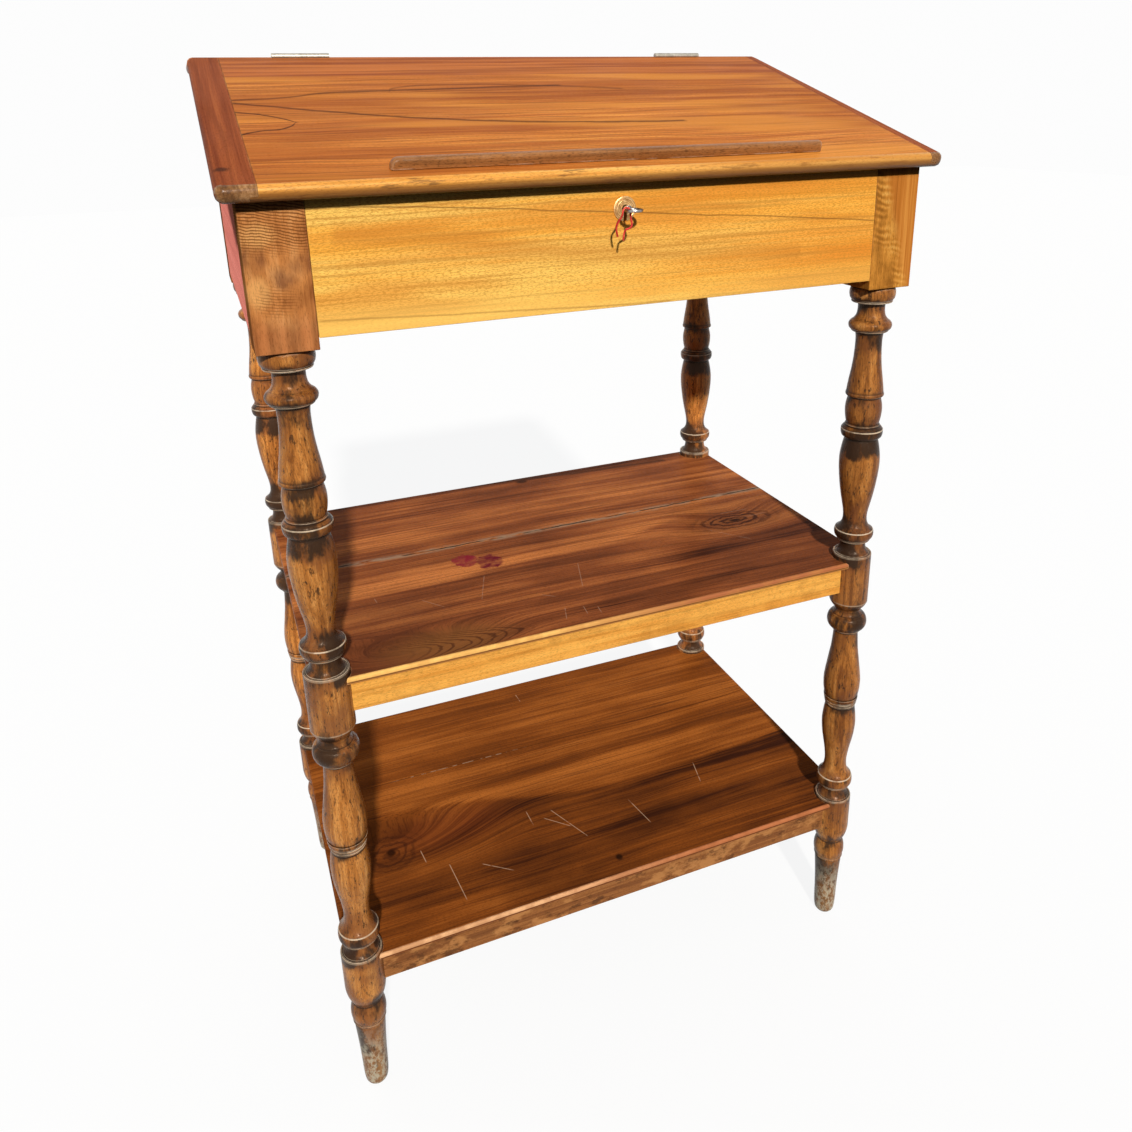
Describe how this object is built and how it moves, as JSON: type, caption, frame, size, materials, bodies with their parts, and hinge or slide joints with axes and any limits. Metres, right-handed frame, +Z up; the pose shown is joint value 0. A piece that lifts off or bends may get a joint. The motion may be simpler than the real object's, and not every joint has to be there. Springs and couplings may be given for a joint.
{
  "type": "standing writing lectern",
  "caption": "Standing writing lectern: sloping hinged lid over a lockable case, on turned legs joined by two open shelves.",
  "frame": {"origin": "on the floor, under the middle of the overall box", "axes": "+Z up, front with the keyhole towards -Y, +X to the right seen from the front"},
  "size_m": [0.72, 0.4998, 1.1502],
  "materials": {
    "leg_walnut": "worn satin polish",
    "panel_walnut": "satin polish",
    "shelf_walnut": "glossy polish, scratched",
    "lid_walnut": "satin polish",
    "cleat_walnut": "satin polish",
    "strip_walnut": "satin polish",
    "inner_pine": "unfinished",
    "aged_brass": "aged, dull polish",
    "plated_steel": "worn plating",
    "red_ribbon": "woven ribbon"
  },
  "bodies": {
    "case": {"leg_front_left": "leg_walnut", "leg_front_right": "leg_walnut", "leg_back_left": "leg_walnut", "leg_back_right": "leg_walnut", "middle_rail_front": "panel_walnut", "middle_rail_back": "panel_walnut", "middle_rail_left": "panel_walnut", "middle_rail_right": "panel_walnut", "lower_rail_front": "panel_walnut", "lower_rail_back": "panel_walnut", "lower_rail_left": "panel_walnut", "lower_rail_right": "panel_walnut", "front_panel": "panel_walnut", "back_panel": "panel_walnut", "side_panel_left": "panel_walnut", "side_panel_right": "panel_walnut", "floor_ledger_front": "inner_pine", "floor_ledger_back": "inner_pine", "floor_ledger_left": "inner_pine", "floor_ledger_right": "inner_pine", "case_floor": "inner_pine", "middle_shelf": "shelf_walnut", "lower_shelf": "shelf_walnut", "back_ledge": "lid_walnut", "hinge_left_case_leaf": "aged_brass", "hinge_left_pin": "plated_steel", "lock_screw_left": "plated_steel", "hinge_right_case_leaf": "aged_brass", "hinge_right_pin": "plated_steel", "lock_screw_right": "plated_steel", "hinge_left_case_screw_1": "plated_steel", "hinge_left_case_screw_2": "plated_steel", "hinge_left_case_screw_3": "plated_steel", "hinge_right_case_screw_1": "plated_steel", "hinge_right_case_screw_2": "plated_steel", "hinge_right_case_screw_3": "plated_steel", "lock_plate": "aged_brass", "lock_case": "aged_brass", "escutcheon": "aged_brass"},
    "lid": {"lid_board": "lid_walnut", "lid_cleat_left": "cleat_walnut", "lid_cleat_right": "cleat_walnut", "book_ledge": "strip_walnut", "hinge_left_lid_leaf": "aged_brass", "hinge_right_lid_leaf": "aged_brass", "hinge_left_lid_screw_1": "plated_steel", "hinge_left_lid_screw_2": "plated_steel", "hinge_left_lid_screw_3": "plated_steel", "hinge_right_lid_screw_1": "plated_steel", "hinge_right_lid_screw_2": "plated_steel", "hinge_right_lid_screw_3": "plated_steel", "strike_plate": "aged_brass", "strike_screw_left": "plated_steel", "strike_screw_right": "plated_steel"},
    "key": {"key": "plated_steel", "key_ribbon": "red_ribbon"},
    "lock_bolt": {"lock_bolt": "plated_steel"}
  },
  "joints": [
    {"name": "lid_hinge", "type": "hinge", "parent": "case", "child": "lid", "pos_m": [0, 0.13695, 1.1468], "axis": [-1, 0, 0], "range_deg": [0, 195]},
    {"name": "key_turn", "type": "hinge", "parent": "case", "child": "key", "pos_m": [0, -0.22005, 0.995], "axis": [0, -1, 0], "range_deg": [0, 90]},
    {"name": "bolt_slide", "type": "slide", "parent": "case", "child": "lock_bolt", "axis": [-1, 0, 0], "range_m": [0, 0.006]}
  ],
  "couplings": [
    {"joint": "bolt_slide", "follows": "key_turn", "m_per_rad": 0.0038197}
  ]
}
